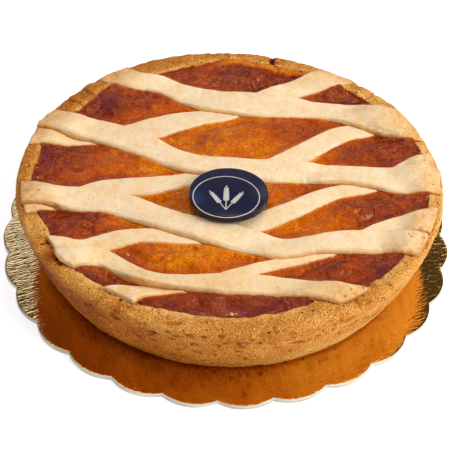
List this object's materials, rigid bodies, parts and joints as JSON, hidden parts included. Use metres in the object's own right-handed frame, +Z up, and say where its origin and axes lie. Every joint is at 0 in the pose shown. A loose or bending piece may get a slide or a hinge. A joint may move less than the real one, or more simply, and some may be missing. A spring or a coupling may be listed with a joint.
{
  "type": "pastiera",
  "caption": "Round shortcrust pie with a flared wall, wavy pastry strips laid crosswise over a puffed browned filling, a small round plaque, on a scalloped foil card.",
  "frame": {"origin": "on the surface that the card rests on, under the middle of the card", "axes": "+Z up, square to the card; -Y towards the side that the picture shows in front, +X to the right of it"},
  "size_m": [0.2786, 0.2786, 0.0567],
  "materials": {
    "card": "gold foil on paperboard, finely embossed",
    "crust": "baked shortcrust, matt and sandy",
    "filling": "baked custard skin, satin",
    "strips": "pale baked shortcrust, matt",
    "plaque": "dark blue, glossy"
  },
  "bodies": {
    "root": {"card": "card", "crust": "crust", "filling": "filling", "strip_under_1": "strips", "strip_under_2": "strips", "strip_under_3": "strips", "strip_under_4": "strips", "strip_over_1": "strips", "strip_over_2": "strips", "strip_over_3": "strips", "strip_over_4": "strips", "plaque": "plaque"}
  },
  "joints": []
}
